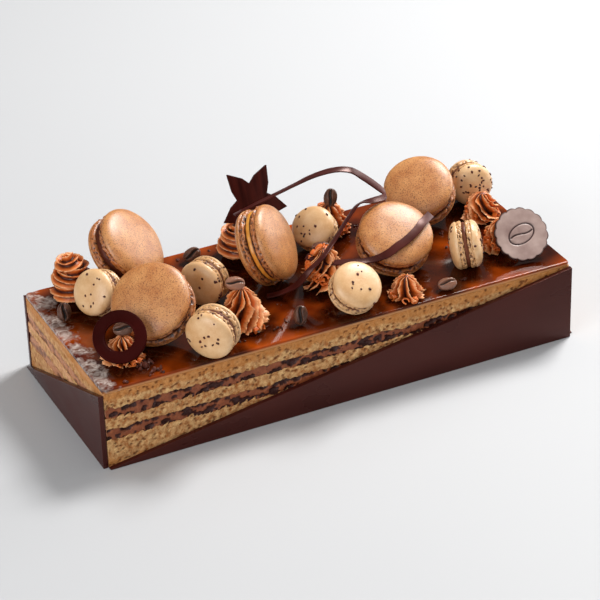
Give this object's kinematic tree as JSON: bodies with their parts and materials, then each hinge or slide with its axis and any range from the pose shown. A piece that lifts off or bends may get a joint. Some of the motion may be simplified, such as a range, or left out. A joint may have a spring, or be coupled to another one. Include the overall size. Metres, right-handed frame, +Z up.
{
  "type": "opera cake",
  "caption": "Long layered coffee and chocolate cake with slanting chocolate panels, macarons, piped cream swirls, coffee beans and chocolate curls on a glazed top.",
  "frame": {"origin": "centre of the cake's base, on the surface it stands on", "axes": "+X along the cake's length, towards the end with the scalloped disc; +Y towards the back; +Z up"},
  "size_m": [0.306, 0.1362, 0.1075],
  "materials": {
    "sponge": "matte porous crumb",
    "coffee_cream": "soft satin",
    "mirror_glaze": "mirror gloss",
    "chocolate_panel": "satin",
    "almond_shell": "matte, finely mottled",
    "caramel_filling": "satin",
    "ganache_filling": "satin",
    "ivory_shell": "matte, speckled",
    "piped_cream": "soft satin",
    "coffee_bean": "satin, roasted",
    "chocolate_trim": "satin"
  },
  "bodies": {
    "root": {"sponge_bottom": "sponge", "cream_lower": "coffee_cream", "sponge_middle": "sponge", "cream_upper": "coffee_cream", "sponge_top": "sponge", "glaze": "mirror_glaze", "panel_front": "chocolate_panel", "panel_right": "chocolate_panel", "panel_back": "chocolate_panel", "panel_left": "chocolate_panel", "macaron_1_shell_front": "almond_shell", "macaron_1_shell_back": "almond_shell", "macaron_1_filling": "ganache_filling", "macaron_2_shell_front": "almond_shell", "macaron_2_shell_back": "almond_shell", "macaron_2_filling": "ganache_filling", "macaron_3_shell_front": "almond_shell", "macaron_3_shell_back": "almond_shell", "macaron_3_filling": "caramel_filling", "macaron_4_shell_front": "almond_shell", "macaron_4_shell_back": "almond_shell", "macaron_4_filling": "ganache_filling", "macaron_5_shell_front": "almond_shell", "macaron_5_shell_back": "almond_shell", "macaron_5_filling": "ganache_filling", "mini_macaron_1": "ivory_shell", "mini_macaron_2": "ivory_shell", "mini_macaron_3": "ivory_shell", "mini_macaron_4": "ivory_shell", "mini_macaron_5": "ivory_shell", "mini_macaron_6": "ivory_shell", "mini_macaron_7": "ivory_shell", "rosette_1": "piped_cream", "rosette_2": "piped_cream", "rosette_3": "piped_cream", "rosette_4": "piped_cream", "rosette_5": "piped_cream", "rosette_6": "piped_cream", "rosette_7": "piped_cream", "rosette_8": "piped_cream", "rosette_9": "piped_cream", "bean_1": "coffee_bean", "bean_2": "coffee_bean", "bean_3": "coffee_bean", "bean_4": "coffee_bean", "bean_5": "coffee_bean", "bean_6": "coffee_bean", "bean_7": "coffee_bean", "bean_8": "coffee_bean", "chocolate_star": "chocolate_trim", "chocolate_ring": "chocolate_trim", "scalloped_disc": "chocolate_trim", "ribbon_long": "chocolate_trim", "ribbon_short": "chocolate_trim"}
  },
  "joints": []
}
